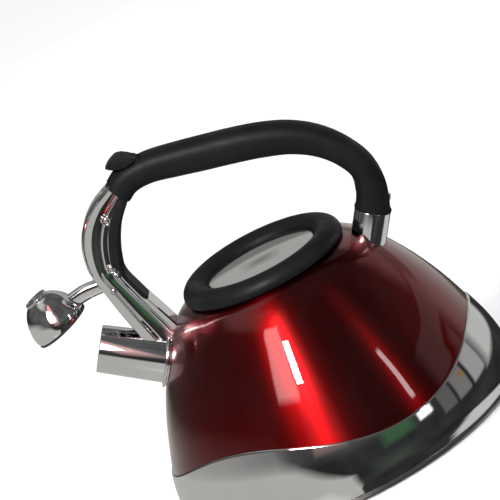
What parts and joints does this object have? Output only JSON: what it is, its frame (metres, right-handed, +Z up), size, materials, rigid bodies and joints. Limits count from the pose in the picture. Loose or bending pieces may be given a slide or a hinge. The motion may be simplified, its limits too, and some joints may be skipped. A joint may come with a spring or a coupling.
{
  "type": "stovetop whistling kettle",
  "caption": "Domed stovetop kettle with a painted top over a polished wavy-edged band, an arched grip on a chrome strut, and a whistle cap opened by a thumb lever.",
  "frame": {"origin": "centre of the base's underside, where the kettle rests on the hob", "axes": "+Z up, the spout points towards -X, the handle lies in the XZ plane"},
  "size_m": [0.2648, 0.228, 0.233],
  "materials": {
    "polished_steel": "mirror polished",
    "brushed_steel": "fine brushed",
    "aluminium": "plain cast",
    "red_paint": "metallic candy red, glossy",
    "black_plastic": "satin black",
    "silicone": "matt"
  },
  "bodies": {
    "root": {"base_cap": "polished_steel", "base_core": "aluminium", "body_band": "polished_steel", "body_dome": "red_paint", "spout_tube": "polished_steel", "spout_collar": "polished_steel", "strut_shell": "polished_steel", "strut_liner": "black_plastic", "strut_screw_upper_left": "brushed_steel", "strut_screw_upper_right": "brushed_steel", "strut_screw_lower_left": "brushed_steel", "strut_screw_lower_right": "brushed_steel", "front_tang": "brushed_steel", "rear_ferrule": "polished_steel", "handle_strap": "brushed_steel", "handle_grip": "black_plastic", "grip_screw": "brushed_steel", "lever_pin": "brushed_steel", "cap_pin": "brushed_steel", "cap_return_spring": "brushed_steel"},
    "cap": {"cap_arm": "polished_steel", "crank_pin": "brushed_steel", "cap_shell": "polished_steel", "cap_screw": "brushed_steel", "cap_seal": "silicone", "whistle_plate": "brushed_steel", "whistle_disc": "brushed_steel"},
    "lever": {"thumb_lever": "black_plastic"},
    "rod": {"push_rod": "brushed_steel"},
    "lid": {"lid_ring": "black_plastic", "lid_plate": "polished_steel", "lid_pan": "brushed_steel", "lid_gasket": "silicone", "lid_screw_1": "brushed_steel", "lid_screw_2": "brushed_steel", "lid_screw_3": "brushed_steel"}
  },
  "joints": [
    {"name": "cap_hinge", "type": "hinge", "parent": "root", "child": "cap", "pos_m": [-0.0902, 0, 0.1567], "axis": [0, -1, 0], "range_deg": [0, 39], "stiffness_Nm_per_rad": 0.06, "springref_deg": 54.43},
    {"name": "lever_hinge", "type": "hinge", "parent": "root", "child": "lever", "pos_m": [-0.0405, 0, 0.2232], "axis": [0, 1, 0], "range_deg": [0, 13.06]},
    {"name": "rod_slide", "type": "slide", "parent": "root", "child": "rod", "axis": [0, 0, 1], "range_m": [0, 0.00468]},
    {"name": "lid_lift", "type": "slide", "parent": "root", "child": "lid", "axis": [0, 0, 1], "range_m": [0, 0.035]}
  ],
  "couplings": [
    {"joint": "lever_hinge", "follows": "cap_hinge", "ratio": 0.33462},
    {"joint": "rod_slide", "follows": "cap_hinge", "m_per_rad": 0.006865}
  ]
}
